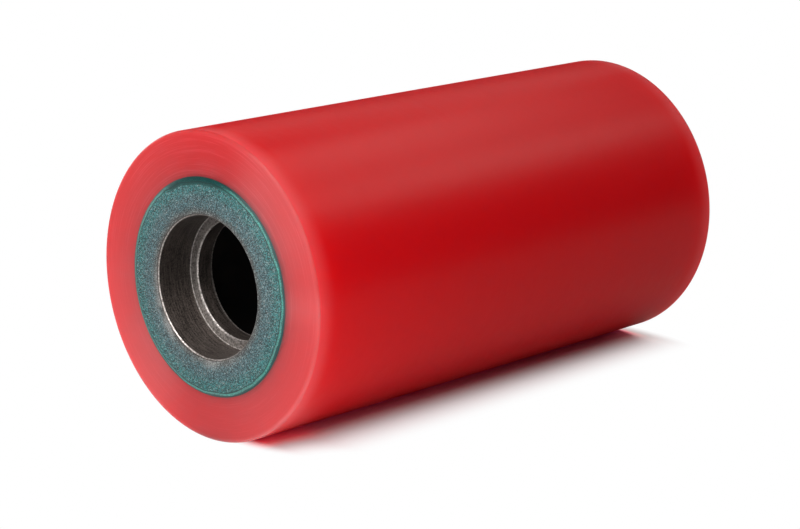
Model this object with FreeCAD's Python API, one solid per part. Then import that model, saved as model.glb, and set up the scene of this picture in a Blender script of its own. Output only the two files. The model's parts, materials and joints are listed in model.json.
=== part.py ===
"""Polyurethane hollow roller: a cast polyurethane cover bonded to a fabricated steel core.

The core is a tube with a turned bearing hub pressed and welded into each end. The seats in the hubs are
empty: a ball bearing of the user's own goes into each one, and an axle runs through the hollow core.

Millimetres, +Z up. The roller turns about +Y. The origin is on that axis, halfway along the roller.
The front end faces -Y, and the rear end is the same turned half a circle about Z.
"""

import FreeCAD, Part
import os

# Bearing seat, for a deep-groove ball bearing of 20 x 47 x 14
seat_diameter = 47.0
seat_depth = 14.0
seat_corner_radius = 0.5
mouth_chamfer = 0.6

# Web behind the seat, whose shoulder stops the bearing's outer ring
shoulder_height = 3.5
web_thickness = 7.0
web_edge_chamfer = 0.5

# Walls, from the seat outwards
hub_wall = 7.0
register_step = 1.0
tube_wall = 6.5
cover_thickness = 15.0

# Lengths along the axis
cover_length = 200.0
core_proud = 0.6

# Edges
rim_round_width = 2.0
cover_edge_radius = 0.8
hub_lead_in_length = 2.0
hub_lead_in_drop = 0.3
register_edge_chamfer = 0.3

# Weld between hub and tube: the groove's leg on each side, as a share of the tube's wall
weld_leg_share = 0.35

# Radii worked out from the walls
seat_radius = seat_diameter / 2
web_bore_radius = seat_radius - shoulder_height
hub_radius = seat_radius + hub_wall
tube_bore_radius = hub_radius - register_step
core_radius = tube_bore_radius + tube_wall
cover_radius = core_radius + cover_thickness
weld_leg = weld_leg_share * tube_wall

# The core's rim is an arc that leaves its end face smoothly and drops to the cover's face
rim_round_radius = (rim_round_width ** 2 + core_proud ** 2) / (2 * core_proud)

# Places along the axis at the front end, counted from the middle of the roller
cover_face = -cover_length / 2
core_face = cover_face - core_proud
shoulder_face = core_face + seat_depth
hub_back = shoulder_face + web_thickness


def line(start, end):
    """A straight edge between two (radius, place along the axis) points."""
    return Part.LineSegment(FreeCAD.Vector(*start, 0), FreeCAD.Vector(*end, 0)).toShape()


def arc(start, end, centre):
    """The shorter arc between two (radius, place along the axis) points, about its centre."""
    first = FreeCAD.Vector(*start, 0)
    last = FreeCAD.Vector(*end, 0)
    middle = FreeCAD.Vector(*centre, 0)
    outwards = (first + last) * 0.5 - middle
    halfway = middle + outwards.normalize() * (first - middle).Length
    return Part.Arc(first, halfway, last).toShape()


def path(points):
    """The straight edges from each point to the next."""
    return [line(start, end) for start, end in zip(points, points[1:])]


def turned(edges):
    """The solid that a closed profile in the XY plane sweeps round the roller's axis."""
    profile = Part.Face(Part.Wire(Part.__sortEdges__(edges)))
    on_axis = FreeCAD.Vector(0, 0, 0)
    axis = FreeCAD.Vector(0, 1, 0)
    return Part.Solid(profile.revolve(on_axis, axis, 360))


def at_rear(front_piece):
    """A copy of a front piece at the rear end."""
    rear_piece = front_piece.copy()
    rear_piece.rotate(FreeCAD.Vector(0, 0, 0), FreeCAD.Vector(0, 0, 1), 180)
    return rear_piece


def make_cover():
    """Cast sleeve, turned to length and diameter, with its outer edges rounded over."""
    rounding_start = cover_radius - cover_edge_radius
    tread_start = cover_face + cover_edge_radius
    edges = []
    for end in (1, -1):
        edges.append(line((core_radius, end * cover_face), (rounding_start, end * cover_face)))
        edges.append(arc(
            (rounding_start, end * cover_face),
            (cover_radius, end * tread_start),
            (rounding_start, end * tread_start),
        ))
    edges.append(line((cover_radius, tread_start), (cover_radius, -tread_start)))
    edges.append(line((core_radius, cover_face), (core_radius, -cover_face)))
    return turned(edges)


def make_tube():
    """Core tube, bored at each end to a register that stops the hub, with a weld groove and a round rim."""
    bore_start = hub_back + register_edge_chamfer
    rim_start = core_radius - rim_round_width
    edges = []
    for end in (1, -1):
        edges += path([
            (tube_bore_radius, end * bore_start),
            (tube_bore_radius + register_edge_chamfer, end * hub_back),
            (hub_radius, end * hub_back),
            (hub_radius, end * (core_face + weld_leg)),
            (hub_radius + weld_leg, end * core_face),
            (rim_start, end * core_face),
        ])
        edges.append(arc(
            (rim_start, end * core_face),
            (core_radius, end * cover_face),
            (rim_start, end * (core_face + rim_round_radius)),
        ))
    edges.append(line((core_radius, cover_face), (core_radius, -cover_face)))
    edges.append(line((tube_bore_radius, bore_start), (tube_bore_radius, -bore_start)))
    return turned(edges)


def make_front_hub():
    """Bearing hub: seat and shoulder in front, web behind, with a lead-in on its back edge."""
    corner_centre = (seat_radius - seat_corner_radius, shoulder_face - seat_corner_radius)
    corner_on_wall = (seat_radius, corner_centre[1])
    corner_on_shoulder = (corner_centre[0], shoulder_face)
    edges = path([
        corner_on_shoulder,
        (web_bore_radius + web_edge_chamfer, shoulder_face),
        (web_bore_radius, shoulder_face + web_edge_chamfer),
        (web_bore_radius, hub_back - web_edge_chamfer),
        (web_bore_radius + web_edge_chamfer, hub_back),
        (hub_radius - hub_lead_in_drop, hub_back),
        (hub_radius, hub_back - hub_lead_in_length),
        (hub_radius, core_face + weld_leg),
        (hub_radius - weld_leg, core_face),
        (seat_radius + mouth_chamfer, core_face),
        (seat_radius, core_face + mouth_chamfer),
        corner_on_wall,
    ])
    edges.append(arc(corner_on_wall, corner_on_shoulder, corner_centre))
    return turned(edges)


def make_front_weld():
    """Ring of weld metal in the groove between hub and tube, turned flush with the core's face."""
    root = (hub_radius, core_face + weld_leg)
    hub_side = (hub_radius - weld_leg, core_face)
    tube_side = (hub_radius + weld_leg, core_face)
    return turned(path([root, hub_side, tube_side, root]))


front_hub = make_front_hub()
front_weld = make_front_weld()
pieces = {
    "polyurethane_cover": make_cover(),
    "core_tube": make_tube(),
    "front_bearing_hub": front_hub,
    "rear_bearing_hub": at_rear(front_hub),
    "front_weld_ring": front_weld,
    "rear_weld_ring": at_rear(front_weld),
}

os.makedirs("parts", exist_ok=True)
for name, shape in pieces.items():
    shape.exportStep(f"parts/{name}.step")
    print(f"{name}: valid {shape.isValid()}, volume {shape.Volume / 1000:.2f} cm3")
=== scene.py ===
import json
import math

import bmesh
import bpy
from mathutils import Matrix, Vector


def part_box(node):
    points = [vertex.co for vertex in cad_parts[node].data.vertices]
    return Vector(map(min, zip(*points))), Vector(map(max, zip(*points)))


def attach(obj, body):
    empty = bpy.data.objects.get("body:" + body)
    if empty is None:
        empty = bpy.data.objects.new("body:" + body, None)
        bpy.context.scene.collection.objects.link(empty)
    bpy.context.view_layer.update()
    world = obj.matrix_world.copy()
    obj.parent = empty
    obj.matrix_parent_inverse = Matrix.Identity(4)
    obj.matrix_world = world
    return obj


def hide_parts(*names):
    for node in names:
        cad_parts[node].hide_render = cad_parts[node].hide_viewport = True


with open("model.json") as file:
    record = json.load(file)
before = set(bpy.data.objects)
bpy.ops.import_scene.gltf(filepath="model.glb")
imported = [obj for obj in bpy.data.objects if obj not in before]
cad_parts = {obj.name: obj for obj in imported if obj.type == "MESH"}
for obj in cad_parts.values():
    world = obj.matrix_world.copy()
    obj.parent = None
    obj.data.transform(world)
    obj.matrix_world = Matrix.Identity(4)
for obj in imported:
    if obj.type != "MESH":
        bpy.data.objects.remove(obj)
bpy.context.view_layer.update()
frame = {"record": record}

mm = 0.001
scene = bpy.context.scene
scene.view_settings.view_transform = "Standard"


# Sizes of the roller, read from the frame
def mountNamed(name):
    return next(mount for mount in frame["record"]["mounts"] if mount["name"] == name)


def measured(value):     # a size off a CAD mesh, to the nearest hundredth of a millimetre
    return round(value / mm, 2) * mm


coverRadius = measured(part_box("polyurethane_cover")[1].x)
coverEnd = measured(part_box("polyurethane_cover")[1].y)      # from the middle to the cover's end face
coreRadius = measured(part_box("core_tube")[1].x)
coreEnd = measured(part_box("core_tube")[1].y)                # the core stands a little proud of the cover
hubRadius = measured(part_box("rear_bearing_hub")[1].x)
hubBack = measured(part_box("rear_bearing_hub")[0].y)         # the hub's inner side
weldRadius = measured(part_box("rear_weld_ring")[1].x)
weldRoot = measured(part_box("rear_weld_ring")[0].y)
weldInner = 2 * hubRadius - weldRadius                      # the weld is as wide on the hub as on the tube
seatRadius = mountNamed("rear_bearing_seat")["dims"]["r_mm"] * mm
shoulderPlace = mountNamed("rear_seat_shoulder")["pos_m"]
shoulderFace = measured(shoulderPlace[1])
webBore = measured(2 * shoulderPlace[0] - seatRadius)       # the mount is halfway up the shoulder
print(f"frame: cover {coverRadius / mm:.2f} x {coverEnd / mm:.2f}, "
      f"core {coreRadius / mm:.2f} x {coreEnd / mm:.2f}")
print(f"frame: hub {hubRadius / mm:.2f}, back {hubBack / mm:.2f}, "
      f"weld {weldRadius / mm:.2f}, {weldRoot / mm:.2f}")
print(f"frame: seat {seatRadius / mm:.2f}, shoulder {shoulderFace / mm:.2f}, web bore {webBore / mm:.2f}")


# Nodes
def addNode(tree, kind, inputs=(), **settings):     # inputs: socket to a value, a node or a node's output
    node = tree.nodes.new(kind)
    for name, value in settings.items():
        setattr(node, name, value)
    for socket, value in dict(inputs).items():
        if isinstance(value, bpy.types.Node):
            value = value.outputs[0]
        if isinstance(value, bpy.types.NodeSocket):
            tree.links.new(value, node.inputs[socket])
        else:
            node.inputs[socket].default_value = value
    return node


# A Mix node's sockets have the same names for numbers and for colours, so they go by their places
mixShare = 0
numberA = 2
numberB = 3
colourA = 6
colourB = 7
mixedColour = 2          # among the outputs


def linearColour(text):     # sRGB hex to linear, as shaders take it
    parts = [int(text[i:i + 2], 16) / 255 for i in (1, 3, 5)]
    return [p / 12.92 if p <= 0.04045 else ((p + 0.055) / 1.055) ** 2.4 for p in parts] + [1.0]


def newMaterial(name):
    material = bpy.data.materials.new(name)
    material.use_nodes = True
    material.node_tree.nodes.clear()
    return material, material.node_tree


# Camera, at the photograph's viewing angle
cameraLook = {
    "lens": 107.865,
    "sensor": 36.0,                         # its width in mm
    "clip": (0.01, 50.0),                   # nearest and farthest distance that is drawn, in metres
    "azimuth": math.radians(43.631),        # round from the front, towards +X
    "elevation": math.radians(13.608),
    "place": (0.55845, -0.59644, 0.18787),
}


def makeCamera():
    data = bpy.data.cameras.new("camera")
    data.lens = cameraLook["lens"]
    data.sensor_width = cameraLook["sensor"]
    data.clip_start, data.clip_end = cameraLook["clip"]
    camera = bpy.data.objects.new("camera", data)
    around, up = cameraLook["azimuth"], cameraLook["elevation"]
    back = Vector((math.sin(around) * math.cos(up), -math.cos(around) * math.cos(up), math.sin(up)))
    camera.location = cameraLook["place"]
    camera.rotation_mode = "QUATERNION"
    camera.rotation_quaternion = (-back).to_track_quat("-Z", "Y")
    scene.collection.objects.link(camera)
    scene.camera = camera


makeCamera()
print("camera: placed")


# Studio light: soft boxes in a dark room, each turned towards the roller's middle
softboxes = {
    "key": {"place": (0.04, -0.32, 0.44), "size": (0.3, 0.3), "watts": 1.22, "colour": "#FFFFFF"},
    "front": {"place": (0.00, -0.68, 0.18), "size": (0.7, 0.45), "watts": 2.56, "colour": "#FFFFFF"},
    "low": {"place": (0.16, -0.22, -0.038), "size": (0.1, 0.02), "watts": 0.085, "colour": "#FFFFFF"},
    "right": {"place": (0.30, -0.33, 0.30), "size": (0.25, 0.25), "watts": 0.42, "colour": "#FFFFFF"},
    "topRight": {"place": (0.30, 0.53, 0.54), "size": (0.28, 0.22), "watts": 1.10, "colour": "#FFF9F0"},
    "topBack": {"place": (-0.03, 0.50, 0.63), "size": (0.34, 0.22), "watts": 0.88, "colour": "#FFF9F0"},
    "topLeft": {"place": (-0.44, 0.50, 0.40), "size": (0.40, 0.22), "watts": 0.23, "colour": "#FFF9F0"},
    "left": {"place": (-0.60, 0.00, 0.08), "size": (0.4, 0.25), "watts": 1.6, "colour": "#FFFFFF"},
    "back": {"place": (-0.10, 0.85, 0.08), "size": (0.4, 0.25), "watts": 0.7, "colour": "#FFFFFF"},
}
roomLook = {"colour": "#FFFFFF", "strength": 0.01}


def makeLights():
    for name, look in softboxes.items():
        data = bpy.data.lights.new(name, "AREA")
        data.shape = "RECTANGLE"
        data.size, data.size_y = look["size"]
        data.energy = look["watts"]
        data.color = linearColour(look["colour"])[:3]
        light = bpy.data.objects.new(name, data)
        light.location = look["place"]
        light.rotation_mode = "QUATERNION"
        light.rotation_quaternion = light.location.to_track_quat("Z", "Y")
        light.visible_camera = False
        scene.collection.objects.link(light)
    world = bpy.data.worlds.new("room")
    world.use_nodes = True
    room = world.node_tree.nodes["Background"]
    room.inputs["Color"].default_value = linearColour(roomLook["colour"])
    room.inputs["Strength"].default_value = roomLook["strength"]
    scene.world = world


makeLights()
print(f"light: {len(softboxes)} soft boxes")


# Floor: white paper that keeps the roller's shadow. Distances are in metres from the shadow's middle
floorLook = {
    "size": 12.0,
    "paper": "#DADADA",
    "frontPaper": "#FFFFFF",            # painted light: paler paper by the front end, which gets more light back from it
    "under": "#616161",                 # painted shade: darker paper as the roller's underside sees it
    "underUntil": (0.0, 0.035),         # distances over which that gives way to plain paper
    "seen": (1.3, 1.2, 1.25),           # painted light: how the camera sees red, green and blue light in the shadow
    "glow": (2.4, 0.25, 0.6),           # and close to the roller a painted red glow, where its red light falls on the paper
    "frontGlow": (4.6, 0.25, 0.6),      # the painted glow is stronger by the front end
    "frontFrom": (-0.070, -0.084),      # places along the shadow over which the front takes over
    "glowFrom": (0.005, 0.001, 0.001),  # distances over which red, green and blue go back to plain shadow
    "glowUntil": (0.016, 0.011, 0.011),
    "taper": 1.35,                      # how many times narrower the shadow is at the front
    "taperFrom": (-0.080, -0.0925),     # places along it over which it narrows
    "shadowMiddle": (0.010, 0.0045),
    "shadowHalf": 0.093,                # half its length
    "endFade": 4.0,                     # how many times faster it fades past its ends
    "whiteFrom": (0.0065, 0.037),       # distances over which the paper turns pure white
    "glossReach": (1.0, 6.5),           # in gloss the shadow is this many times as wide, in front and along
    "glossAlong": (-0.0825, -0.045),    # places along it over which the one goes over into the other
    "glossUntil": (0.15, 0.6),          # distances over which the white fades in gloss
    "glossFar": 0.1,                    # the share of it that is left there
}


def makeFloor():
    half = floorLook["size"] / 2
    level = -coverRadius
    mesh = bpy.data.meshes.new("floor")
    corners = [(-half, -half, level), (half, -half, level), (half, half, level), (-half, half, level)]
    mesh.from_pydata(corners, [], [(0, 1, 2, 3)])
    floor = bpy.data.objects.new("floor", mesh)
    scene.collection.objects.link(floor)
    material, tree = newMaterial("white paper floor")

    # How far a place is from the shadow's middle line, and from the shadow as gloss sees it
    spot = addNode(tree, "ShaderNodeTexCoord").outputs["Object"]
    middle = (*floorLook["shadowMiddle"], level)
    offset = addNode(tree, "ShaderNodeVectorMath", {0: spot, 1: middle}, operation="SUBTRACT")
    parts = addNode(tree, "ShaderNodeSeparateXYZ", {0: offset})
    along = parts.outputs["Y"]
    beside = addNode(tree, "ShaderNodeMath", {0: parts.outputs["X"]}, operation="ABSOLUTE")
    begin, full = floorLook["taperFrom"]
    taper = addNode(tree, "ShaderNodeMapRange", {
        "Value": along, "From Min": begin, "From Max": full, "To Min": 1.0, "To Max": floorLook["taper"],
    })
    across = addNode(tree, "ShaderNodeMath", {0: beside, 1: taper}, operation="MULTIPLY")
    fade = floorLook["endFade"]
    past = []
    for end in (-1, 1):     # past the front and past the rear end of the shadow
        beyond = addNode(tree, "ShaderNodeMath", {
            0: along, 1: end * fade, 2: -fade * floorLook["shadowHalf"],
        }, operation="MULTIPLY_ADD")
        past.append(addNode(tree, "ShaderNodeMath", {0: beyond, 1: 0.0}, operation="MAXIMUM"))
    fromBoth = addNode(tree, "ShaderNodeCombineXYZ", {"X": across, "Y": past[0], "Z": past[1]})
    away = addNode(tree, "ShaderNodeVectorMath", {0: fromBoth}, operation="LENGTH").outputs["Value"]
    begin, full = floorLook["glossAlong"]
    narrow, wide = floorLook["glossReach"]
    glossWidth = addNode(tree, "ShaderNodeMapRange", {
        "Value": along, "From Min": begin, "From Max": full, "To Min": narrow, "To Max": wide,
    })
    besideGloss = addNode(tree, "ShaderNodeMath", {0: beside, 1: glossWidth}, operation="DIVIDE")
    fromFront = addNode(tree, "ShaderNodeCombineXYZ", {"X": besideGloss, "Y": past[0]})
    glossAway = addNode(tree, "ShaderNodeVectorMath", {0: fromFront}, operation="LENGTH").outputs["Value"]

    # The shadow that the camera sees, with a painted red glow from the roller, which reaches on past the
    # front end
    slower = (1.0, 1 / fade, 1.0)
    inGlow = addNode(tree, "ShaderNodeVectorMath", {0: fromBoth, 1: slower}, operation="MULTIPLY")
    glowAway = addNode(tree, "ShaderNodeVectorMath", {0: inGlow}, operation="LENGTH").outputs["Value"]
    begin, full = floorLook["frontFrom"]
    atFront = addNode(tree, "ShaderNodeMapRange", {"Value": along, "From Min": begin, "From Max": full})
    glow = addNode(tree, "ShaderNodeMix", {
        mixShare: atFront, colourA: [*floorLook["glow"], 1.0], colourB: [*floorLook["frontGlow"], 1.0],
    }, data_type="RGBA").outputs[mixedColour]
    # Each colour has its own distances, so the map range takes vectors: value, from, until, near and far
    shadow = addNode(tree, "ShaderNodeMapRange", {
        6: glowAway, 7: floorLook["glowFrom"], 8: floorLook["glowUntil"], 9: glow, 10: floorLook["seen"],
    }, data_type="FLOAT_VECTOR").outputs[1]

    # The light that the paper gives back to the roller, with painted shade under it and painted light by
    # its front end
    begin, full = floorLook["underUntil"]
    inOpen = addNode(tree, "ShaderNodeMapRange", {"Value": away, "From Min": begin, "From Max": full})
    lit = addNode(tree, "ShaderNodeMix", {
        mixShare: atFront, colourA: linearColour(floorLook["paper"]),
        colourB: linearColour(floorLook["frontPaper"]),
    }, data_type="RGBA").outputs[mixedColour]
    bounce = addNode(tree, "ShaderNodeMix", {
        mixShare: inOpen, colourA: linearColour(floorLook["under"]), colourB: lit,
    }, data_type="RGBA").outputs[mixedColour]
    path = addNode(tree, "ShaderNodeLightPath")
    toEye = path.outputs["Is Camera Ray"]
    colour = addNode(tree, "ShaderNodeMix", {
        mixShare: toEye, colourA: bounce, colourB: shadow,
    }, data_type="RGBA").outputs[mixedColour]
    paper = addNode(tree, "ShaderNodeBsdfDiffuse", {"Color": colour})

    # Away from the roller the paper is pure white to the eye and in gloss, where it fades with distance
    inGloss = addNode(tree, "ShaderNodeMath", {
        0: path.outputs["Is Glossy Ray"], 1: path.outputs["Is Transmission Ray"],
    }, operation="MAXIMUM")
    distance = addNode(tree, "ShaderNodeVectorMath", {0: offset}, operation="LENGTH").outputs["Value"]
    begin, full = floorLook["glossUntil"]
    closeness = addNode(tree, "ShaderNodeMapRange", {
        "Value": distance, "From Min": begin, "From Max": full, "To Min": 1.0,
        "To Max": floorLook["glossFar"],
    })
    fading = addNode(tree, "ShaderNodeMath", {0: inGloss, 1: closeness}, operation="MULTIPLY")
    shown = addNode(tree, "ShaderNodeMath", {0: toEye, 1: fading}, operation="MAXIMUM")
    reach = addNode(tree, "ShaderNodeMix", {mixShare: toEye, numberA: glossAway, numberB: away})
    begin, full = floorLook["whiteFrom"]
    clear = addNode(tree, "ShaderNodeMapRange", {
        "Value": reach, "From Min": begin, "From Max": full,
    }, interpolation_type="SMOOTHSTEP")
    whiteShare = addNode(tree, "ShaderNodeMath", {0: clear, 1: shown}, operation="MULTIPLY")
    white = addNode(tree, "ShaderNodeEmission", {"Strength": 1.0})
    surface = addNode(tree, "ShaderNodeMixShader", {0: whiteShare, 1: paper, 2: white})
    addNode(tree, "ShaderNodeOutputMaterial", {"Surface": surface})
    mesh.materials.append(material)


makeFloor()
print("floor: laid")

# Noise in the finishes
noiseDetail = 2.0        # finer layers
noiseMiddle = 0.5        # it goes up and down about this


# Places on the roller that its finishes follow, from Object coordinates
def turnedPlaces(tree):
    spot = addNode(tree, "ShaderNodeTexCoord").outputs["Object"]
    parts = addNode(tree, "ShaderNodeSeparateXYZ", {0: spot})
    flat = addNode(tree, "ShaderNodeCombineXYZ", {"X": parts.outputs["X"], "Z": parts.outputs["Z"]})
    return {
        "spot": spot,
        "radius": addNode(tree, "ShaderNodeVectorMath", {0: flat}, operation="LENGTH").outputs["Value"],
        "along": parts.outputs["Y"],
        "height": parts.outputs["Z"],
        "outwards": addNode(tree, "ShaderNodeVectorMath", {0: flat}, operation="NORMALIZE").outputs[0],
    }


# Turned streaks: noise that is long round the axis and fine across it
def streaks(tree, places, pitch, length):
    squeeze = (1 / length, 1 / pitch, 1 / length)
    place = addNode(tree, "ShaderNodeVectorMath", {0: places["spot"], 1: squeeze}, operation="MULTIPLY")
    rings = addNode(tree, "ShaderNodeMath", {0: places["radius"], 1: 1 / pitch}, operation="MULTIPLY")
    return addNode(tree, "ShaderNodeTexNoise", {
        "Vector": place, "W": rings, "Scale": 1.0, "Detail": noiseDetail,
    }, noise_dimensions="4D").outputs[0]


# Cast polyurethane, ground to diameter: satin, saturated red, light sinks some millimetres into it
treadLook = {
    "colour": "#D60E17",
    "rim": "#D2464B",                   # painted glow, paler at the ends, where light gets in from the end face too
    "rimWidth": 8 * mm,
    "roughness": (0.36, 0.40),
    "roughnessRange": (0.3, 0.7),       # noise values between which it goes from the one to the other
    "specular": 0.13,
    "depth": (28.0, 4.0, 4.0),          # how far red, green and blue light travels inside, in mm
    "grindPitch": 0.7 * mm,             # drawn coarser than the real marks, so that they show
    "grindLength": 30 * mm,
    "grindBump": (0.35, 0.05 * mm),     # strength and height
    "wave": 5 * mm,                     # slight waviness that the grinding leaves
    "waveBump": (0.5, 0.15 * mm),
}


def makeTread():
    material, tree = newMaterial("cast polyurethane, ground")
    places = turnedPlaces(tree)
    grind = streaks(tree, places, treadLook["grindPitch"], treadLook["grindLength"])
    waves = addNode(tree, "ShaderNodeTexNoise", {
        "Vector": places["spot"], "Scale": 1 / treadLook["wave"], "Detail": noiseDetail,
    }).outputs[0]
    begin, full = treadLook["roughnessRange"]
    smooth, rough = treadLook["roughness"]
    roughness = addNode(tree, "ShaderNodeMapRange", {
        "Value": grind, "From Min": begin, "From Max": full, "To Min": smooth, "To Max": rough,
    })
    strength, height = treadLook["waveBump"]
    wavy = addNode(tree, "ShaderNodeBump", {"Height": waves, "Strength": strength, "Distance": height})
    strength, height = treadLook["grindBump"]
    bump = addNode(tree, "ShaderNodeBump", {
        "Height": grind, "Strength": strength, "Distance": height, "Normal": wavy,
    })
    # Painted glow: the colour turns paler towards both ends
    along = addNode(tree, "ShaderNodeMath", {0: places["along"]}, operation="ABSOLUTE")
    rimStart = coverEnd - treadLook["rimWidth"]
    atPaintedGlow = addNode(tree, "ShaderNodeMapRange", {
        "Value": along, "From Min": rimStart, "From Max": coverEnd,
    }, interpolation_type="SMOOTHSTEP")
    colour = addNode(tree, "ShaderNodeMix", {
        mixShare: atPaintedGlow, colourA: linearColour(treadLook["colour"]),
        colourB: linearColour(treadLook["rim"]),
    }, data_type="RGBA").outputs[mixedColour]
    shader = addNode(tree, "ShaderNodeBsdfPrincipled", {
        "Base Color": colour,
        "Roughness": roughness,
        "Specular IOR Level": treadLook["specular"],
        "Subsurface Weight": 1.0,
        "Subsurface Radius": treadLook["depth"],
        "Subsurface Scale": mm,
        "Normal": bump,
    })
    addNode(tree, "ShaderNodeOutputMaterial", {"Surface": shader})
    return material


# The same polyurethane faced off on a lathe: rougher, so paler, with fine rings that stretch the highlight
endLook = {
    "colour": "#BD2C30",
    "pale": "#C33D41",
    "paleRange": (0.5, 0.75),                   # noise values between which a ring turns pale
    "highColour": "#B81E22",                    # painted shade high up: darker there, with the rings painted paler
    "highPale": "#C6444A",
    "highFrom": (0.0, 40 * mm),
    "edge": "#BC3638",
    "lowEdge": "#C95557",                       # painted reflection of the paper: paler low down
    "lowFrom": (0.0, -34 * mm),
    "edgeFrom": (49.4 * mm, 50.5 * mm),         # radii over which the broken edge's painted highlight takes over
    "roughness": (0.46, 0.56),
    "roughnessRange": (0.3, 0.7),
    "specular": 0.75,
    "anisotropy": 0.94,
    "inside": 0.85,                             # share of the light that sinks in
    "depth": (34.0, 4.0, 4.0),
    "ringPitch": 0.3 * mm,
    "ringLength": 16 * mm,
    "ringBump": (0.06, 0.05 * mm),
}


def makeCoverEnd():
    material, tree = newMaterial("cast polyurethane, faced")
    places = turnedPlaces(tree)
    rings = streaks(tree, places, endLook["ringPitch"], endLook["ringLength"])
    begin, full = endLook["roughnessRange"]
    smooth, rough = endLook["roughness"]
    roughness = addNode(tree, "ShaderNodeMapRange", {
        "Value": rings, "From Min": begin, "From Max": full, "To Min": smooth, "To Max": rough,
    })
    shares = {}
    for name, value in (("paleRange", rings), ("highFrom", places["height"]), ("lowFrom", places["height"]),
                        ("edgeFrom", places["radius"])):
        begin, full = endLook[name]
        shares[name] = addNode(tree, "ShaderNodeMapRange", {
            "Value": value, "From Min": begin, "From Max": full,
        })
    # Second colours: painted shade high up on the face and rings, a painted reflection low down on the edge
    colours = {}
    for name, other, share in (("colour", "highColour", "highFrom"), ("pale", "highPale", "highFrom"),
                               ("edge", "lowEdge", "lowFrom")):
        colours[name] = addNode(tree, "ShaderNodeMix", {
            mixShare: shares[share], colourA: linearColour(endLook[name]),
            colourB: linearColour(endLook[other]),
        }, data_type="RGBA").outputs[mixedColour]
    colour = colours["colour"]
    for name, share in (("pale", "paleRange"), ("edge", "edgeFrom")):
        colour = addNode(tree, "ShaderNodeMix", {
            mixShare: shares[share], colourA: colour, colourB: colours[name],
        }, data_type="RGBA").outputs[mixedColour]
    strength, height = endLook["ringBump"]
    bump = addNode(tree, "ShaderNodeBump", {"Height": rings, "Strength": strength, "Distance": height})
    shader = addNode(tree, "ShaderNodeBsdfPrincipled", {
        "Base Color": colour,
        "Roughness": roughness,
        "Specular IOR Level": endLook["specular"],
        "Anisotropic": endLook["anisotropy"],
        "Tangent": places["outwards"],
        "Subsurface Weight": endLook["inside"],
        "Subsurface Radius": endLook["depth"],
        "Subsurface Scale": mm,
        "Normal": bump,
    })
    addNode(tree, "ShaderNodeOutputMaterial", {"Surface": shader})
    return material


# Blasted steel under a thin teal bonding agent: matt grey-teal with a glitter from the grit. The film thins
# out towards the seat, where bare steel shows. The rounded rim is glossier, with painted highlight and
# shade
primedLook = {
    "bare": "#3E3C3A",
    "thin": "#364F53",
    "film": "#265858",
    # the rim: a painted highlight, with painted shade in the dark line inside it and at its outer edge
    "rim": "#327A71",
    "rimThin": "#3F6C67",
    "scuff": "#B0AEAB",
    "darkTop": "#0A3836",
    "line": "#0C2E2C",
    "outer": "#123A38",
    "glint": "#AEB8B6",
    "thinFrom": (24.0 * mm, 27.0 * mm),     # radii over which one colour takes over from the last
    "filmFrom": (28.5 * mm, 33.0 * mm),
    "rimFrom": (34.0 * mm, 34.6 * mm),
    "outerFrom": (35.2 * mm, 35.5 * mm),
    "darkTopTowards": (-0.14, 0, 0.99),      # the side of the rim that is darker and wider: the top
    "darkTopFrom": (0.84, 0.96),             # cosines of the angle from that side
    "darkTopWidth": 0.8 * mm,
    "scuffAndLightTowards": (-0.55, 0, -0.835),     # the side of the seat's mouth that is scuffed most
    "scuffAndLightFrom": (0.2, 0.9),
    "scuffRadius": (28.0 * mm, 24.5 * mm),
    "scuffRange": (0.42, 0.62),             # values of the patches between which scuffs begin
    "lineFrom": (0.25 * mm, 0.1 * mm),      # painted dark line between face and rim: distances to its middle
    "lineRadius": 34.45 * mm,
    "grit": 0.25 * mm,                      # drawn coarser than real grit, so that it shows
    "gritNoise": (1.0, 0.8),                # detail and roughness
    "gritStrength": (0.5, 0.08),            # of the bump, on face and rim
    "gritHeight": 0.15 * mm,
    "shade": (-1.1, 2.9),                   # darkest and lightest grain
    "shadeRange": (0.32, 0.68),
    "beads": (0.3, 2.0),                    # the same on the rim, where it speckles the painted highlight
    "beadRange": (0.35, 0.65),
    "glintSize": 0.3 * mm,                  # coarser than real too
    "glintFrom": (0.82, 1.0),               # only some grains catch the light
    "glintShare": 0.5,
    "patch": 6 * mm,
    "patchDetail": 3.0,
    "rubRange": (0.35, 0.65),               # values of the patches between which the rim is rubbed thin
    "wander": 1.6 * mm,                     # how far the patches move the borders between colours
    "roughness": (0.5, 0.42),               # face, rim
    "anisotropy": 0.8,
}


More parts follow.
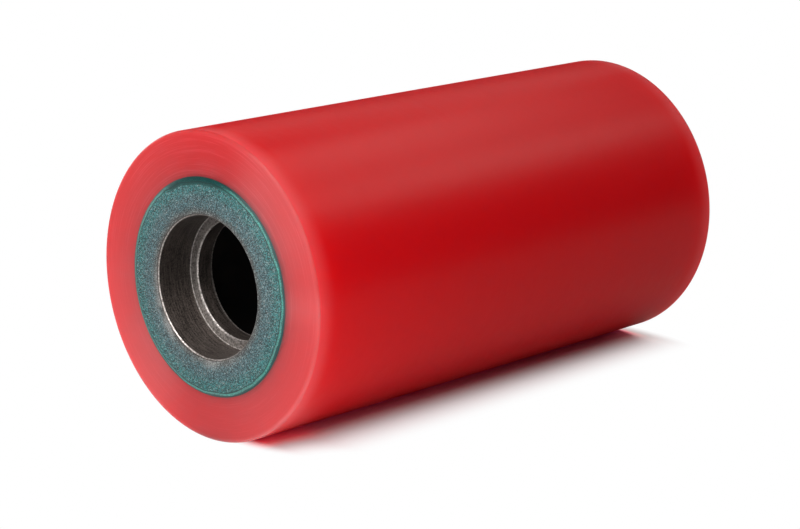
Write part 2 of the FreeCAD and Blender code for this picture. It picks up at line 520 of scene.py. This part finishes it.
def makePrimed():
    material, tree = newMaterial("blasted steel with bonding agent")
    places = turnedPlaces(tree)
    detail, harshness = primedLook["gritNoise"]
    grit = addNode(tree, "ShaderNodeTexNoise", {
        "Vector": places["spot"], "Scale": 1 / primedLook["grit"], "Detail": detail, "Roughness": harshness,
    }).outputs[0]
    patches = addNode(tree, "ShaderNodeTexNoise", {
        "Vector": places["spot"], "Scale": 1 / primedLook["patch"], "Detail": primedLook["patchDetail"],
    }).outputs[0]
    shift = addNode(tree, "ShaderNodeMath", {0: patches, 1: noiseMiddle}, operation="SUBTRACT")
    radius = addNode(tree, "ShaderNodeMath", {
        0: shift, 1: primedLook["wander"], 2: places["radius"],
    }, operation="MULTIPLY_ADD")
    facing = {}
    for side in ("darkTopTowards", "scuffAndLightTowards"):     # cosine of the angle round the axis from that side
        facing[side] = addNode(tree, "ShaderNodeVectorMath", {
            0: places["outwards"], 1: primedLook[side],
        }, operation="DOT_PRODUCT").outputs["Value"]

    # The face: steel under more and more film, with light and dark grains and glints
    colour = linearColour(primedLook["bare"])
    for name in ("thin", "film"):
        begin, full = primedLook[name + "From"]
        share = addNode(tree, "ShaderNodeMapRange", {
            "Value": radius, "From Min": begin, "From Max": full,
        }, interpolation_type="SMOOTHSTEP")
        colour = addNode(tree, "ShaderNodeMix", {
            mixShare: share, colourA: colour, colourB: linearColour(primedLook[name]),
        }, data_type="RGBA").outputs[mixedColour]
    begin, full = primedLook["shadeRange"]
    low, high = primedLook["shade"]
    shade = addNode(tree, "ShaderNodeMapRange", {
        "Value": grit, "From Min": begin, "From Max": full, "To Min": low, "To Max": high,
    })
    colour = addNode(tree, "ShaderNodeVectorMath", {
        0: colour, "Scale": shade,
    }, operation="SCALE").outputs[0]
    grains = addNode(tree, "ShaderNodeTexVoronoi", {
        "Vector": places["spot"], "Scale": 1 / primedLook["glintSize"],
    })
    lucky = addNode(tree, "ShaderNodeSeparateXYZ", {0: grains.outputs["Color"]}).outputs["X"]
    begin, full = primedLook["glintFrom"]
    glints = addNode(tree, "ShaderNodeMapRange", {
        "Value": lucky, "From Min": begin, "From Max": full, "To Max": primedLook["glintShare"],
    })
    colour = addNode(tree, "ShaderNodeMix", {
        mixShare: glints, colourA: colour, colourB: linearColour(primedLook["glint"]),
    }, data_type="RGBA").outputs[mixedColour]

    # Scuffs by the seat's mouth
    begin, full = primedLook["scuffRange"]
    scuffed = addNode(tree, "ShaderNodeMapRange", {"Value": patches, "From Min": begin, "From Max": full})
    for name, value in (("scuffRadius", radius), ("scuffAndLightFrom", facing["scuffAndLightTowards"])):
        begin, full = primedLook[name]
        share = addNode(tree, "ShaderNodeMapRange", {"Value": value, "From Min": begin, "From Max": full})
        scuffed = addNode(tree, "ShaderNodeMath", {0: scuffed, 1: share}, operation="MULTIPLY")
    scuffed = addNode(tree, "ShaderNodeMath", {0: scuffed, 1: grit}, operation="MULTIPLY")
    colour = addNode(tree, "ShaderNodeMix", {
        mixShare: scuffed, colourA: colour, colourB: linearColour(primedLook["scuff"]),
    }, data_type="RGBA").outputs[mixedColour]

    # The rim: a painted highlight between painted dark lines, rubbed thin in patches, darker and wider at
    # the top
    begin, full = primedLook["darkTopFrom"]
    darkTop = addNode(tree, "ShaderNodeMapRange", {
        "Value": facing["darkTopTowards"], "From Min": begin, "From Max": full,
    }, interpolation_type="SMOOTHSTEP")
    widened = addNode(tree, "ShaderNodeMath", {
        0: darkTop, 1: primedLook["darkTopWidth"], 2: radius,
    }, operation="MULTIPLY_ADD")
    begin, full = primedLook["rimFrom"]
    onRim = addNode(tree, "ShaderNodeMapRange", {
        "Value": widened, "From Min": begin, "From Max": full,
    }, interpolation_type="SMOOTHSTEP")
    begin, full = primedLook["rubRange"]
    rubbedAndLit = addNode(tree, "ShaderNodeMapRange", {"Value": patches, "From Min": begin, "From Max": full})
    begin, full = primedLook["beadRange"]
    low, high = primedLook["beads"]
    beads = addNode(tree, "ShaderNodeMapRange", {
        "Value": grit, "From Min": begin, "From Max": full, "To Min": low, "To Max": high,
    })
    begin, full = primedLook["outerFrom"]
    outside = addNode(tree, "ShaderNodeMapRange", {"Value": radius, "From Min": begin, "From Max": full})
    rimColour = linearColour(primedLook["rim"])
    for name, share in (("rimThin", rubbedAndLit), ("darkTop", darkTop)):
        rimColour = addNode(tree, "ShaderNodeMix", {
            mixShare: share, colourA: rimColour, colourB: linearColour(primedLook[name]),
        }, data_type="RGBA").outputs[mixedColour]
    rimColour = addNode(tree, "ShaderNodeVectorMath", {
        0: rimColour, "Scale": beads,
    }, operation="SCALE").outputs[0]
    rimColour = addNode(tree, "ShaderNodeMix", {
        mixShare: outside, colourA: rimColour, colourB: linearColour(primedLook["outer"]),
    }, data_type="RGBA").outputs[mixedColour]
    colour = addNode(tree, "ShaderNodeMix", {
        mixShare: onRim, colourA: colour, colourB: rimColour,
    }, data_type="RGBA").outputs[mixedColour]

    # The painted dark line between face and rim
    offLine = addNode(tree, "ShaderNodeMath", {
        0: radius, 1: primedLook["lineRadius"],
    }, operation="SUBTRACT")
    fromLine = addNode(tree, "ShaderNodeMath", {0: offLine}, operation="ABSOLUTE")
    begin, full = primedLook["lineFrom"]
    onLine = addNode(tree, "ShaderNodeMapRange", {"Value": fromLine, "From Min": begin, "From Max": full})
    colour = addNode(tree, "ShaderNodeMix", {
        mixShare: onLine, colourA: colour, colourB: linearColour(primedLook["line"]),
    }, data_type="RGBA").outputs[mixedColour]
    face, rim = primedLook["roughness"]
    roughness = addNode(tree, "ShaderNodeMapRange", {"Value": onRim, "To Min": face, "To Max": rim})
    face, rim = primedLook["gritStrength"]
    strength = addNode(tree, "ShaderNodeMapRange", {"Value": onRim, "To Min": face, "To Max": rim})
    bump = addNode(tree, "ShaderNodeBump", {
        "Height": grit, "Strength": strength, "Distance": primedLook["gritHeight"],
    })
    shader = addNode(tree, "ShaderNodeBsdfPrincipled", {
        "Base Color": colour,
        "Roughness": roughness,
        "Anisotropic": primedLook["anisotropy"],
        "Tangent": places["outwards"],
        "Normal": bump,
    })
    addNode(tree, "ShaderNodeOutputMaterial", {"Surface": shader})
    return material


# Turned steel under a film of old oil: dark brown, streaked round by the tool, bright where edges are worn
boredLook = {
    "dark": "#15100E",
    "light": "#6A605A",
    "lightRange": (0.36, 0.66),             # values of the marks between which dark turns light
    "worn": "#D2CAC4",
    "pitch": 0.5 * mm,
    "length": 6 * mm,
    "grain": 0.5 * mm,
    "grainShare": 0.5,
    "bump": (0.4, 0.1 * mm),                # strength and height
    "wearPatch": 0.7 * mm,
    "wearRange": (0.36, 0.62),
    "wearLeast": 0.2,                       # what is left of the wear between its patches
    "scuffAndLightTowards": (-0.42, 0, -0.91),      # the side of the seat painted lighter, where light falls on it
    "scuffAndLightFrom": (0.45, 0.92),
    "shade": (0.64, 1.4),                   # painted shade away from that side, painted light on it
    "boreShade": 0.85,                      # the web's bore lies deeper, so less light gets there
    "boreEnd": (0.1 * mm, 0.3 * mm),        # how far outside the bore that ends
    "metallic": (0.3, 0.9),                 # under the oil, worn bright
    "roughness": 0.42,
}


def makeBored():
    material, tree = newMaterial("turned steel, oiled")
    places = turnedPlaces(tree)
    marks = streaks(tree, places, boredLook["pitch"], boredLook["length"])
    grain = addNode(tree, "ShaderNodeTexNoise", {
        "Vector": places["spot"], "Scale": 1 / boredLook["grain"], "Detail": noiseDetail,
    }).outputs[0]
    both = addNode(tree, "ShaderNodeMix", {
        mixShare: boredLook["grainShare"], numberA: marks, numberB: grain,
    })
    begin, full = boredLook["lightRange"]
    light = addNode(tree, "ShaderNodeMapRange", {"Value": both, "From Min": begin, "From Max": full})
    colour = addNode(tree, "ShaderNodeMix", {
        mixShare: light, colourA: linearColour(boredLook["dark"]),
        colourB: linearColour(boredLook["light"]),
    }, data_type="RGBA").outputs[mixedColour]

    # Worn edges, and a shoulder that is also painted paler as it faces the light, as the outlines mark
    # them, broken up into patches
    patches = addNode(tree, "ShaderNodeTexNoise", {
        "Vector": places["spot"], "Scale": 1 / boredLook["wearPatch"], "Detail": noiseDetail,
    }).outputs[0]
    begin, full = boredLook["wearRange"]
    broken = addNode(tree, "ShaderNodeMapRange", {
        "Value": patches, "From Min": begin, "From Max": full, "To Min": boredLook["wearLeast"],
    })
    wear = addNode(tree, "ShaderNodeAttribute", attribute_name="worn").outputs["Fac"]
    worn = addNode(tree, "ShaderNodeMath", {0: wear, 1: broken}, operation="MULTIPLY")
    colour = addNode(tree, "ShaderNodeMix", {
        mixShare: worn, colourA: colour, colourB: linearColour(boredLook["worn"]),
    }, data_type="RGBA").outputs[mixedColour]

    # Painted light and shade: lighter on the side where light falls, darker away from it and in the web's
    # bore
    side = addNode(tree, "ShaderNodeVectorMath", {
        0: places["outwards"], 1: boredLook["scuffAndLightTowards"],
    }, operation="DOT_PRODUCT").outputs["Value"]
    begin, full = boredLook["scuffAndLightFrom"]
    low, high = boredLook["shade"]
    rubbedAndLit = addNode(tree, "ShaderNodeMapRange", {
        "Value": side, "From Min": begin, "From Max": full, "To Min": low, "To Max": high,
    }, interpolation_type="SMOOTHSTEP")
    begin, full = [webBore + beyond for beyond in boredLook["boreEnd"]]
    inSeat = addNode(tree, "ShaderNodeMapRange", {
        "Value": places["radius"], "From Min": begin, "From Max": full,
    })
    depth = addNode(tree, "ShaderNodeMapRange", {
        "Value": inSeat, "To Min": boredLook["boreShade"], "To Max": 1.0,
    })
    shade = addNode(tree, "ShaderNodeMath", {0: rubbedAndLit, 1: depth}, operation="MULTIPLY")
    colour = addNode(tree, "ShaderNodeVectorMath", {
        0: colour, "Scale": shade,
    }, operation="SCALE").outputs[0]
    oiled, bright = boredLook["metallic"]
    metal = addNode(tree, "ShaderNodeMapRange", {"Value": worn, "To Min": oiled, "To Max": bright})
    strength, height = boredLook["bump"]
    bump = addNode(tree, "ShaderNodeBump", {"Height": both, "Strength": strength, "Distance": height})
    shader = addNode(tree, "ShaderNodeBsdfPrincipled", {
        "Base Color": colour,
        "Metallic": metal,
        "Roughness": boredLook["roughness"],
        "Normal": bump,
    })
    addNode(tree, "ShaderNodeOutputMaterial", {"Surface": shader})
    return material


# Mill scale inside the tube: dull with brown patches, painted nearly black as shade, so the hollow core
# looks empty
scaleLook = {
    "dark": "#0B0A0B",
    "light": "#17110E",
    "patch": 4 * mm,
    "patchDetail": 3.0,
    "patchRange": (0.35, 0.65),
    "roughness": (0.62, 0.76),
    "specular": 0.2,
    "bump": (0.3, 0.1 * mm),
}


def makeScale():
    material, tree = newMaterial("steel with mill scale")
    spot = addNode(tree, "ShaderNodeTexCoord").outputs["Object"]
    patches = addNode(tree, "ShaderNodeTexNoise", {
        "Vector": spot, "Scale": 1 / scaleLook["patch"], "Detail": scaleLook["patchDetail"],
    }).outputs[0]
    begin, full = scaleLook["patchRange"]
    flaked = addNode(tree, "ShaderNodeMapRange", {"Value": patches, "From Min": begin, "From Max": full})
    colour = addNode(tree, "ShaderNodeMix", {
        mixShare: flaked, colourA: linearColour(scaleLook["dark"]),
        colourB: linearColour(scaleLook["light"]),
    }, data_type="RGBA").outputs[mixedColour]
    smooth, rough = scaleLook["roughness"]
    roughness = addNode(tree, "ShaderNodeMapRange", {"Value": flaked, "To Min": smooth, "To Max": rough})
    strength, height = scaleLook["bump"]
    bump = addNode(tree, "ShaderNodeBump", {"Height": patches, "Strength": strength, "Distance": height})
    shader = addNode(tree, "ShaderNodeBsdfPrincipled", {
        "Base Color": colour,
        "Roughness": roughness,
        "Specular IOR Level": scaleLook["specular"],
        "Normal": bump,
    })
    addNode(tree, "ShaderNodeOutputMaterial", {"Surface": shader})
    return material


treadFinish = makeTread()
coverEndFinish = makeCoverEnd()
primedFinish = makePrimed()
boredFinish = makeBored()
scaleFinish = makeScale()
print("finishes: 5 made")

# Outlines: points (radius, place along the axis, depth of tool marks, wear) that go once round a section
outlineLook = {
    "support": 0.1 * mm,     # points this close to a corner keep it crisp
    "bendSteps": 10,
}


def straight(start, end, step, marks=0.0, worn=0.0):     # up to the end, which the next run begins with
    support = outlineLook["support"]
    run = math.dist(start, end)
    inner = max(run - 2 * support, 0)
    count = max(1, round(inner / step))
    points = []
    for stop in [0.0] + [support + inner * i / count for i in range(count + 1)]:
        share = stop / run
        spot = [a + (b - a) * share for a, b in zip(start, end)]
        points.append((*spot, marks if support < stop < run - support else 0.0, worn))
    return points


def runs(stops, step):     # straight runs: a stop's marks and wear hold as far as the next stop
    points = []
    for stop, after in zip(stops, stops[1:]):
        points += straight(stop[:2], after[:2], step, *stop[2:])
    return points


def bend(centre, radius, first, last, worn=0.0):     # an arc, with angles from outwards towards +Y
    steps = outlineLook["bendSteps"]
    points = []
    for i in range(steps):
        turn = math.radians(first + (last - first) * i / steps)
        points.append((centre[0] + radius * math.cos(turn), centre[1] + radius * math.sin(turn), 0.0, worn))
    return points


def atEnd(outline, end):     # a rear outline at the front, -1, or at the rear, 1
    return [(point[0], end * point[1], *point[2:]) for point in outline]


# Geometry Nodes: turn an outline about the roller's axis, as a lathe would
latheLook = {
    "segments": 288,
    "rail": 10 * mm,                   # radius of the circle that carries the outline round
    "markDetail": 1.0,
    "sharpFrom": math.radians(35),     # edges that bend more than this stay crisp
}


def makeLathe():
    tree = bpy.data.node_groups.new("turn outline about axis", "GeometryNodeTree")
    tree.is_modifier = True
    sockets = {}
    for name, kind in (("Outline", "NodeSocketGeometry"), ("Segments", "NodeSocketInt"),
                       ("Mark Pitch", "NodeSocketFloat"), ("Seed", "NodeSocketFloat"),
                       ("Face Start", "NodeSocketFloat"), ("Wall Finish", "NodeSocketMaterial"),
                       ("Face Finish", "NodeSocketMaterial")):
        sockets[name] = tree.interface.new_socket(name=name, in_out="INPUT", socket_type=kind).identifier
    tree.interface.new_socket(name="Piece", in_out="OUTPUT", socket_type="NodeSocketGeometry")
    given = addNode(tree, "NodeGroupInput")
    outline = addNode(tree, "GeometryNodeMeshToCurve", {0: given.outputs["Outline"]})
    # Tool marks: shallow ups and downs across the outline
    length = addNode(tree, "GeometryNodeSplineParameter").outputs["Length"]
    pitches = addNode(tree, "ShaderNodeMath", {
        0: length, 1: given.outputs["Mark Pitch"],
    }, operation="DIVIDE")
    place = addNode(tree, "ShaderNodeMath", {0: pitches, 1: given.outputs["Seed"]}, operation="ADD")
    waves = addNode(tree, "ShaderNodeTexNoise", {
        "W": place, "Scale": 1.0, "Detail": latheLook["markDetail"],
    }, noise_dimensions="1D")
    upDown = addNode(tree, "ShaderNodeMath", {0: waves.outputs[0], 1: noiseMiddle}, operation="SUBTRACT")
    depth = addNode(tree, "GeometryNodeInputNamedAttribute", {"Name": "marks"}, data_type="FLOAT")
    height = addNode(tree, "ShaderNodeMath", {0: upDown, 1: depth}, operation="MULTIPLY")
    tangent = addNode(tree, "GeometryNodeInputTangent")
    across = addNode(tree, "ShaderNodeVectorMath", {0: tangent, 1: (0, 0, 1)}, operation="CROSS_PRODUCT")
    offset = addNode(tree, "ShaderNodeVectorMath", {0: across, "Scale": height}, operation="SCALE")
    marked = addNode(tree, "GeometryNodeSetPosition", {"Geometry": outline, "Offset": offset})
    # The turn: the outline follows a small circle about the axis
    rail = latheLook["rail"]
    shifted = addNode(tree, "GeometryNodeTransform", {"Geometry": marked, "Translation": (-rail, 0, 0)})
    circle = addNode(tree, "GeometryNodeCurvePrimitiveCircle", {
        "Resolution": given.outputs["Segments"], "Radius": rail,
    })
    upright = addNode(tree, "GeometryNodeSetCurveNormal", {"Curve": circle.outputs["Curve"]}, mode="Z_UP")
    turned = addNode(tree, "GeometryNodeCurveToMesh", {"Curve": upright, "Profile Curve": shifted})
    laid = addNode(tree, "GeometryNodeTransform", {"Geometry": turned, "Rotation": (-math.pi / 2, 0, 0)})
    smooth = addNode(tree, "GeometryNodeSetShadeSmooth", {"Geometry": laid})
    angle = addNode(tree, "GeometryNodeInputMeshEdgeAngle")
    sharp = addNode(tree, "FunctionNodeCompare", {
        0: angle, 1: latheLook["sharpFrom"],
    }, operation="GREATER_THAN")
    edged = addNode(tree, "GeometryNodeSetShadeSmooth", {
        "Geometry": smooth, "Selection": sharp, "Shade Smooth": False,
    }, domain="EDGE")
    # The finishes: walls all over, then what lies beyond the face's start
    spot = addNode(tree, "ShaderNodeSeparateXYZ", {0: addNode(tree, "GeometryNodeInputPosition")})
    along = addNode(tree, "ShaderNodeMath", {0: spot.outputs["Y"]}, operation="ABSOLUTE")
    isFace = addNode(tree, "FunctionNodeCompare", {
        0: along, 1: given.outputs["Face Start"],
    }, operation="GREATER_THAN")
    whole = addNode(tree, "GeometryNodeRealizeInstances", {"Geometry": edged})
    walls = addNode(tree, "GeometryNodeSetMaterial", {
        "Geometry": whole, "Material": given.outputs["Wall Finish"],
    })
    faces = addNode(tree, "GeometryNodeSetMaterial", {
        "Geometry": walls, "Selection": isFace, "Material": given.outputs["Face Finish"],
    })
    addNode(tree, "NodeGroupOutput", {"Piece": faces})
    return tree, sockets


lathe, latheSockets = makeLathe()


def turnPiece(name, node, outline, seed, markPitch, faceStart, wall, face):
    count = len(outline)
    mesh = bpy.data.meshes.new(name)
    mesh.from_pydata([(point[0], point[1], 0) for point in outline],
                     [(i, (i + 1) % count) for i in range(count)], [])
    for place, attribute in ((2, "marks"), (3, "worn")):
        values = mesh.attributes.new(attribute, "FLOAT", "POINT")
        values.data.foreach_set("value", [point[place] for point in outline])
    piece = bpy.data.objects.new(name, mesh)
    scene.collection.objects.link(piece)
    modifier = piece.modifiers.new("lathe", "NODES")
    modifier.node_group = lathe
    inputs = {"Segments": latheLook["segments"], "Mark Pitch": markPitch, "Seed": seed,
              "Face Start": faceStart, "Wall Finish": wall, "Face Finish": face}
    for socket, value in inputs.items():
        modifier[latheSockets[socket]] = value
    ready = piece.evaluated_get(bpy.context.evaluated_depsgraph_get())
    piece.data = bpy.data.meshes.new_from_object(ready)
    piece.modifiers.clear()
    sheet = bmesh.new()
    sheet.from_mesh(piece.data)
    bmesh.ops.recalc_face_normals(sheet, faces=sheet.faces)
    sheet.to_mesh(piece.data)
    sheet.free()
    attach(piece, "root")
    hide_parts(node)
    corners = [piece.matrix_world @ Vector(corner) for corner in piece.bound_box]
    reach = [max(abs(corner[i]) for corner in corners) / mm for i in range(3)]
    print(f"{name}: {len(piece.data.polygons)} faces, reach {reach[0]:.2f} {reach[1]:.2f} {reach[2]:.2f}")


# Cover: a thick sleeve with its ends faced off and its outer edges just broken
coverLook = {
    "edgeRounding": 0.8 * mm,
    "facedShare": 0.8,             # how far down the rounding the faced finish goes
    "faceStep": 0.3 * mm,
    "treadStep": 4 * mm,
    "boreStep": 8 * mm,
    "faceMarks": 0.012 * mm,
    "markPitch": 0.9 * mm,
    "seed": 3.7,
}


def makeCover():
    rounding, step, marks = coverLook["edgeRounding"], coverLook["faceStep"], coverLook["faceMarks"]
    inner, outer = coverRadius - rounding, coverEnd - rounding
    outline = straight((coreRadius, -coverEnd), (inner, -coverEnd), step, marks)
    outline += bend((inner, -outer), rounding, -90, 0)
    outline += straight((coverRadius, -outer), (coverRadius, outer), coverLook["treadStep"])
    outline += bend((inner, outer), rounding, 0, 90)
    outline += straight((inner, coverEnd), (coreRadius, coverEnd), step, marks)
    outline += straight((coreRadius, coverEnd), (coreRadius, -coverEnd), coverLook["boreStep"])
    faceStart = coverEnd - coverLook["facedShare"] * rounding
    turnPiece("cast_cover", "polyurethane_cover", outline, coverLook["seed"],
              coverLook["markPitch"], faceStart, treadFinish, coverEndFinish)


makeCover()


# Core tube: its ends are faced flush with the weld and its rims are rounded down to the cover
tubeLook = {
    "rimWidth": 2.0 * mm,
    "register": 1.0 * mm,          # step in the bore that stops the hub
    "registerChamfer": 0.3 * mm,
    "seatStep": 2 * mm,
    "grooveStep": 0.5 * mm,
    "faceStep": 0.3 * mm,
    "boreStep": 8 * mm,
    "markPitch": 1 * mm,
    "seed": 8.1,
}


def makeTube():
    bore = hubRadius - tubeLook["register"]
    drop, width = coreEnd - coverEnd, tubeLook["rimWidth"]
    rimRadius = (width ** 2 + drop ** 2) / (2 * drop)
    rimTurn = math.degrees(math.asin(width / rimRadius))
    rimStart = coreRadius - width
    outline = []
    for end in (-1, 1):
        half = straight((hubRadius, end * hubBack), (hubRadius, end * weldRoot), tubeLook["seatStep"])
        half += straight((hubRadius, end * weldRoot), (weldRadius, end * coreEnd), tubeLook["grooveStep"])
        half += straight((weldRadius, end * coreEnd), (rimStart, end * coreEnd), tubeLook["faceStep"])
        half += bend((rimStart, end * (coreEnd - rimRadius)), rimRadius, end * 90, end * (90 - rimTurn))
        half += [(coreRadius, end * coverEnd, 0.0, 0.0)]
        outline += half if end < 0 else half[::-1]
    chamfer = tubeLook["registerChamfer"]
    outline += [(bore + chamfer, hubBack, 0.0, 0.0)]
    outline += straight((bore, hubBack - chamfer), (bore, chamfer - hubBack), tubeLook["boreStep"])
    outline += [(bore, chamfer - hubBack, 0.0, 0.0), (bore + chamfer, -hubBack, 0.0, 0.0)]
    turnPiece("core_tube_turned", "core_tube", outline, tubeLook["seed"],
              tubeLook["markPitch"], coverEnd, scaleFinish, primedFinish)


makeTube()


# Hubs: bearing seat and shoulder in front, web behind
hubLook = {
    "mouthChamfer": 0.6 * mm,
    "seatCorner": 0.5 * mm,
    "webChamfer": 0.5 * mm,
    "leadInLength": 2.0 * mm,
    "leadInDrop": 0.3 * mm,
    "edgeWear": 1.0,
    "cornerWear": 0.95,
    "cornerWearFrom": -60,         # degrees round the seat's corner, which ends at -90 on the shoulder
    # on the shoulder, wear and painted light: it is made paler as it faces the light
    "shoulderWearAndLight": 0.36,
    "webWear": 1.0,
    "webRub": 0.2 * mm,            # strip of the bore behind the web's edge that is rubbed too
    "rubWear": 0.8,
    "backWear": 0.8,
    "faceDepth": 0.1 * mm,         # what lies this close to the core's end has the face's finish
    "step": 0.4 * mm,
    "seatMarks": 0.02 * mm,
    "markPitch": 0.7 * mm,
    "seed": 5.3,
}


def makeHub(side, end):
    step, marks = hubLook["step"], hubLook["seatMarks"]
    mouth, corner, edge = hubLook["mouthChamfer"], hubLook["seatCorner"], hubLook["webChamfer"]
    drop, lead = hubLook["leadInDrop"], hubLook["leadInLength"]
    edgeWear, shoulderWearAndLight = hubLook["edgeWear"], hubLook["shoulderWearAndLight"]
    outline = runs([
        (weldInner, coreEnd),
        (seatRadius + mouth, coreEnd),
        (seatRadius + mouth / 2, coreEnd - mouth / 2, 0.0, edgeWear),
        (seatRadius, coreEnd - mouth, marks),
        (seatRadius, shoulderFace + corner),
    ], step)
    cornerMiddle = (seatRadius - corner, shoulderFace + corner)
    wearFrom = hubLook["cornerWearFrom"]
    outline += bend(cornerMiddle, corner, 0, wearFrom)
    outline += bend(cornerMiddle, corner, wearFrom, -90, hubLook["cornerWear"])
    outline += runs([
        (seatRadius - corner, shoulderFace, marks, shoulderWearAndLight),
        (webBore + edge, shoulderFace, 0.0, shoulderWearAndLight),
        (webBore + edge / 2, shoulderFace - edge / 2, 0.0, hubLook["webWear"]),
        (webBore, shoulderFace - edge, 0.0, hubLook["rubWear"]),
        (webBore, shoulderFace - edge - hubLook["webRub"], marks),
        (webBore, hubBack + 2 * edge, 0.0, hubLook["backWear"]),
        (webBore, hubBack + edge, 0.0, edgeWear),
        (webBore + edge, hubBack),
        (hubRadius - drop, hubBack),
        (hubRadius, hubBack + lead),
        (hubRadius, weldRoot),
        (weldInner, coreEnd),
    ], step)
    turnPiece(f"{side}_hub_turned", f"{side}_bearing_hub", atEnd(outline, end),
              hubLook["seed"] + end, hubLook["markPitch"], coreEnd - hubLook["faceDepth"],
              boredFinish, primedFinish)


# Weld rings: the weld metal between hub and tube, faced flush with the core's end
weldLook = {
    "faceDepth": 0.1 * mm,
    "step": 0.4 * mm,
    "markPitch": 1 * mm,
    "seed": 2.9,
}


def makeWeld(side, end):
    root = (hubRadius, weldRoot)
    outline = runs([root, (weldInner, coreEnd), (weldRadius, coreEnd), root], weldLook["step"])
    turnPiece(f"{side}_weld_turned", f"{side}_weld_ring", atEnd(outline, end),
              weldLook["seed"] + end, weldLook["markPitch"], coreEnd - weldLook["faceDepth"],
              boredFinish, primedFinish)


for side, end in (("front", -1), ("rear", 1)):
    makeHub(side, end)
    makeWeld(side, end)
print("core: turned")
